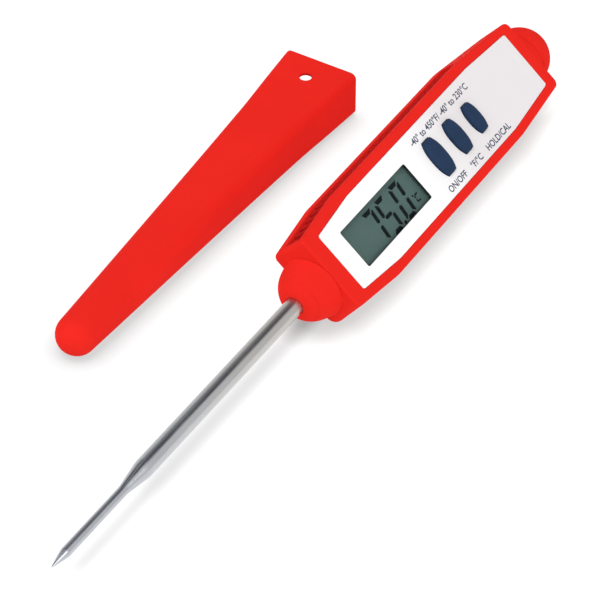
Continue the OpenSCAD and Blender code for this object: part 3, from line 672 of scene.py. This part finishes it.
floor = new_object("floor", [(-3, -3, -3e-5), (3, -3, -3e-5), (3, 3, -3e-5), (-3, 3, -3e-5)], [(0, 1, 2, 3)])
fm = bpy.data.materials.new("floor")
fm.use_nodes = True
ft = fm.node_tree
fb = ft.nodes["Principled BSDF"]
fb.inputs["Base Color"].default_value = (0.12, 0.12, 0.12, 1)
fb.inputs["Roughness"].default_value = 0.9
fb.inputs["Specular IOR Level"].default_value = 0.1
# a lit table: it glows evenly, and a painted shadow dims the glow softly where something stands close over it
near = ft.nodes.new("ShaderNodeAmbientOcclusion")
near.samples = 16
near.inputs["Distance"].default_value = 0.005
painted_shadow_ramp = ft.nodes.new("ShaderNodeValToRGB")
painted_shadow_ramp.color_ramp.elements[0].position, painted_shadow_ramp.color_ramp.elements[1].position = 0.42, 1.0
painted_shadow_ramp.color_ramp.elements[0].color, painted_shadow_ramp.color_ramp.elements[1].color = (0.45, 0.485, 0.485, 1), (1, 1, 1, 1)
ft.links.new(near.outputs["AO"], painted_shadow_ramp.inputs["Fac"])
ft.links.new(painted_shadow_ramp.outputs["Color"], fb.inputs["Emission Color"])
fb.inputs["Emission Strength"].default_value = 0.68
floor.data.materials.append(fm)


def area_light(name, where, target, size, power, colour=(1, 1, 1)):
    d = bpy.data.lights.new(name, "AREA")
    d.shape, d.size, d.energy, d.color = "DISK", size, power, colour
    o = bpy.data.objects.new(name, d)
    scene.collection.objects.link(o)
    o.location = where
    o.rotation_mode = "QUATERNION"
    o.rotation_quaternion = (Vector(target) - Vector(where)).to_track_quat("-Z", "Y")
    return o


mid = Vector((-0.02, 0.012, 0))
area_light("top", mid + Vector((-0.25, 0.02, 0.97)) * 1.2, mid, 0.5, 2.6)
# a lamp on the table alone, from overhead, that sets the stem off from it
spot = area_light("table", mid + Vector((-0.75, -0.12, 0.99)) * 2.4, mid, 0.9, 243.0)
lit, shade = bpy.data.collections.new("lit_table"), bpy.data.collections.new("shade_stem")
lit.objects.link(floor)
shade.objects.link(stem)
spot.light_linking.receiver_collection = lit
spot.light_linking.blocker_collection = shade
area_light("fill_tip", mid + Vector((-0.9, -0.3, 0.32)) * 1.5, mid, 1.2, 2.0)
area_light("fill_high", mid + Vector((-0.12, -0.72, 0.68)) * 1.5, mid, 1.0, 5.0)
area_light("fill_back", mid + Vector((-0.28, 0.74, 0.61)) * 1.5, mid, 1.0, 4.4)

world = bpy.data.worlds.new("studio")
scene.world = world
world.use_nodes = True
t = world.node_tree
bg = t.nodes["Background"]
bg.inputs["Strength"].default_value = 0.80
co = t.nodes.new("ShaderNodeTexCoord")
dark = None
# a dark stretch of the studio overhead, from well behind the cap end to just past the zenith
for way, wide, core, depth in (((0.66, 0.05, 0.75), 24, 11, 1.0), ((0.45, 0.09, 0.88), 20, 9, 1.0), ((0.22, 0.12, 0.97), 18, 8, 1.0),
                               ((0.63, 0.38, 0.68), 18, 8, 0.75), ((0.38, 0.62, 0.68), 20, 9, 1.0)):
    dot = t.nodes.new("ShaderNodeVectorMath")
    dot.operation = "DOT_PRODUCT"
    t.links.new(co.outputs["Generated"], dot.inputs[0])
    dot.inputs[1].default_value = Vector(way).normalized()
    band = t.nodes.new("ShaderNodeMapRange")
    band.interpolation_type = "SMOOTHSTEP"
    band.inputs["From Min"].default_value = math.cos(math.radians(wide))
    band.inputs["From Max"].default_value = math.cos(math.radians(core))
    band.inputs["To Max"].default_value = depth
    t.links.new(dot.outputs["Value"], band.inputs["Value"])
    if dark is None:
        dark = band.outputs["Result"]
    else:
        top = t.nodes.new("ShaderNodeMath")
        top.operation = "MAXIMUM"
        t.links.new(dark, top.inputs[0])
        t.links.new(band.outputs["Result"], top.inputs[1])
        dark = top.outputs["Value"]
mix = t.nodes.new("ShaderNodeMix")
mix.data_type = "RGBA"
t.links.new(dark, mix.inputs["Factor"])
mix.inputs["A"].default_value = (1, 1, 1, 1)
mix.inputs["B"].default_value = (0.14, 0.145, 0.17, 1)
t.links.new(mix.outputs["Result"], bg.inputs["Color"])

bpy.context.view_layer.update()
